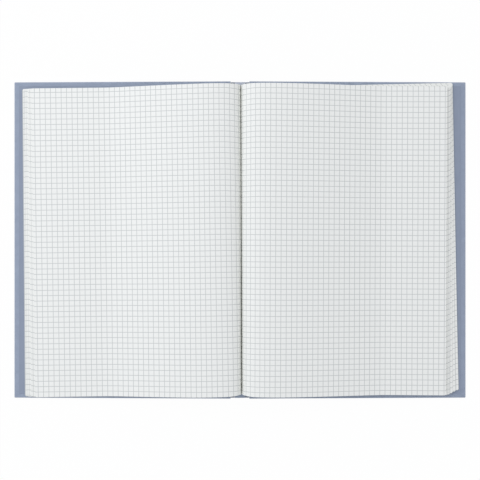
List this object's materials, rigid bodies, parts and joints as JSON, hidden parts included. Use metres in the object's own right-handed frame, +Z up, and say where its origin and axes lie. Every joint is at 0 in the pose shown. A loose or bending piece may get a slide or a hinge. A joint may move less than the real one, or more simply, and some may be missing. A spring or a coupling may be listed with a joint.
{
  "type": "hardcover notebook",
  "caption": "Case-bound squared notebook lying open, with cloth-covered boards on a hinged spine, sewn sections that arch beside the gutter, and a leaf that turns over.",
  "frame": {"origin": "on the table, under the middle of the spine", "axes": "+X towards the reader's right along the opening, +Y towards the head of the pages, +Z up"},
  "size_m": [0.424, 0.297, 0.0249],
  "materials": {
    "book_cloth": "matte woven",
    "greyboard": "matte",
    "endpaper": "matte",
    "squared_paper": "matte, grey squared ruling",
    "gauze": "matte open weave",
    "kraft_paper": "matte",
    "linen_thread": "matte"
  },
  "bodies": {
    "back_cover": {"back_board": "greyboard", "back_cover_cloth": "book_cloth", "back_mull_flap": "gauze", "back_pastedown": "endpaper"},
    "spine": {"spine_board": "greyboard", "spine_cloth": "book_cloth", "spine_lining": "kraft_paper", "spine_mull": "gauze", "sewing_thread": "linen_thread", "front_joint_cloth": "book_cloth", "back_joint_cloth": "book_cloth", "section_01_fold": "squared_paper", "section_02_fold": "squared_paper", "section_03_fold": "squared_paper", "section_04_fold": "squared_paper", "section_05_fold": "squared_paper", "section_06_fold": "squared_paper", "section_07_fold": "squared_paper", "section_08_fold": "squared_paper", "section_09_fold": "squared_paper", "section_10_fold": "squared_paper", "section_11_fold": "squared_paper", "section_12_fold": "squared_paper"},
    "front_cover": {"front_board": "greyboard", "front_cover_cloth": "book_cloth", "front_mull_flap": "gauze", "front_pastedown": "endpaper"},
    "front_section_1": {"section_01_leaves": "squared_paper", "front_flyleaf": "endpaper"},
    "front_section_2": {"section_02_leaves": "squared_paper"},
    "front_section_3": {"section_03_leaves": "squared_paper"},
    "front_section_4": {"section_04_leaves": "squared_paper"},
    "front_section_5": {"section_05_leaves": "squared_paper"},
    "front_section_6": {"section_06_leaves": "squared_paper"},
    "back_section_1": {"section_12_leaves": "squared_paper", "back_flyleaf": "endpaper"},
    "back_section_2": {"section_11_leaves": "squared_paper"},
    "back_section_3": {"section_10_leaves": "squared_paper"},
    "back_section_4": {"section_09_leaves": "squared_paper"},
    "back_section_5": {"section_08_leaves": "squared_paper"},
    "back_section_6": {"section_07_leaves": "squared_paper"},
    "leaf_strip_01": {"turning_leaf_01": "squared_paper"},
    "leaf_strip_02": {"turning_leaf_02": "squared_paper"},
    "leaf_strip_03": {"turning_leaf_03": "squared_paper"}
  },
  "joints": [
    {"name": "spine_hinge", "type": "hinge", "parent": "back_cover", "child": "spine", "pos_m": [0.00768, 0, 0.00013], "axis": [0, 1, 0], "range_deg": [0, 90], "deforming": ["back_joint_cloth", "section_07_fold", "section_08_fold", "section_09_fold", "section_10_fold", "section_11_fold", "section_12_fold"]},
    {"name": "front_cover_hinge", "type": "hinge", "parent": "spine", "child": "front_cover", "pos_m": [-0.00768, 0, 0.00013], "axis": [0, 1, 0], "range_deg": [0, 90], "deforming": ["front_joint_cloth", "section_01_fold", "section_02_fold", "section_03_fold", "section_04_fold", "section_05_fold", "section_06_fold"]},
    {"name": "front_section_1_fold", "type": "hinge", "parent": "spine", "child": "front_section_1", "pos_m": [-0.0041, 0, 0.00371], "axis": [0, 1, 0], "range_deg": [0, 90]},
    {"name": "front_section_2_fold", "type": "hinge", "parent": "spine", "child": "front_section_2", "pos_m": [-0.00332, 0, 0.00449], "axis": [0, 1, 0], "range_deg": [0, 90]},
    {"name": "front_section_3_fold", "type": "hinge", "parent": "spine", "child": "front_section_3", "pos_m": [-0.00254, 0, 0.00527], "axis": [0, 1, 0], "range_deg": [0, 90]},
    {"name": "front_section_4_fold", "type": "hinge", "parent": "spine", "child": "front_section_4", "pos_m": [-0.00177, 0, 0.00604], "axis": [0, 1, 0], "range_deg": [0, 90]},
    {"name": "front_section_5_fold", "type": "hinge", "parent": "spine", "child": "front_section_5", "pos_m": [-0.00099, 0, 0.00682], "axis": [0, 1, 0], "range_deg": [0, 90]},
    {"name": "front_section_6_fold", "type": "hinge", "parent": "spine", "child": "front_section_6", "pos_m": [-0.00021, 0, 0.0076], "axis": [0, 1, 0], "range_deg": [0, 90]},
    {"name": "back_section_1_fold", "type": "hinge", "parent": "spine", "child": "back_section_1", "pos_m": [0.0041, 0, 0.00371], "axis": [0, -1, 0], "range_deg": [0, 90]},
    {"name": "back_section_2_fold", "type": "hinge", "parent": "spine", "child": "back_section_2", "pos_m": [0.00332, 0, 0.00449], "axis": [0, -1, 0], "range_deg": [0, 90]},
    {"name": "back_section_3_fold", "type": "hinge", "parent": "spine", "child": "back_section_3", "pos_m": [0.00254, 0, 0.00527], "axis": [0, -1, 0], "range_deg": [0, 90]},
    {"name": "back_section_4_fold", "type": "hinge", "parent": "spine", "child": "back_section_4", "pos_m": [0.00177, 0, 0.00604], "axis": [0, -1, 0], "range_deg": [0, 90]},
    {"name": "back_section_5_fold", "type": "hinge", "parent": "spine", "child": "back_section_5", "pos_m": [0.00099, 0, 0.00682], "axis": [0, -1, 0], "range_deg": [0, 90]},
    {"name": "back_section_6_fold", "type": "hinge", "parent": "spine", "child": "back_section_6", "pos_m": [0.00021, 0, 0.0076], "axis": [0, -1, 0], "range_deg": [0, 90]},
    {"name": "leaf_turn", "type": "hinge", "parent": "back_section_6", "child": "leaf_strip_01", "pos_m": [0.00125, 0, 0.01519], "axis": [0, 1, 0], "range_deg": [-60, 0], "deforming": ["turning_leaf_01", "turning_leaf_02", "turning_leaf_03"]},
    {"name": "leaf_bend_02", "type": "hinge", "parent": "leaf_strip_01", "child": "leaf_strip_02", "pos_m": [0.0116, 0, 0.02305], "axis": [0, 1, 0], "range_deg": [-105, 0]},
    {"name": "leaf_bend_03", "type": "hinge", "parent": "leaf_strip_02", "child": "leaf_strip_03", "pos_m": [0.0431, 0, 0.02403], "axis": [0, 1, 0], "range_deg": [-30, 0]}
  ],
  "couplings": [
    {"joint": "front_section_1_fold", "follows": "front_cover_hinge", "ratio": 1},
    {"joint": "front_section_2_fold", "follows": "front_cover_hinge", "ratio": 1},
    {"joint": "front_section_3_fold", "follows": "front_cover_hinge", "ratio": 1},
    {"joint": "front_section_4_fold", "follows": "front_cover_hinge", "ratio": 1},
    {"joint": "front_section_5_fold", "follows": "front_cover_hinge", "ratio": 1},
    {"joint": "front_section_6_fold", "follows": "front_cover_hinge", "ratio": 1},
    {"joint": "back_section_1_fold", "follows": "spine_hinge", "ratio": 1},
    {"joint": "back_section_2_fold", "follows": "spine_hinge", "ratio": 1},
    {"joint": "back_section_3_fold", "follows": "spine_hinge", "ratio": 1},
    {"joint": "back_section_4_fold", "follows": "spine_hinge", "ratio": 1},
    {"joint": "back_section_5_fold", "follows": "spine_hinge", "ratio": 1},
    {"joint": "back_section_6_fold", "follows": "spine_hinge", "ratio": 1},
    {"joint": "leaf_bend_02", "follows": "leaf_turn", "ratio": 1.75},
    {"joint": "leaf_bend_03", "follows": "leaf_turn", "ratio": 0.5}
  ]
}
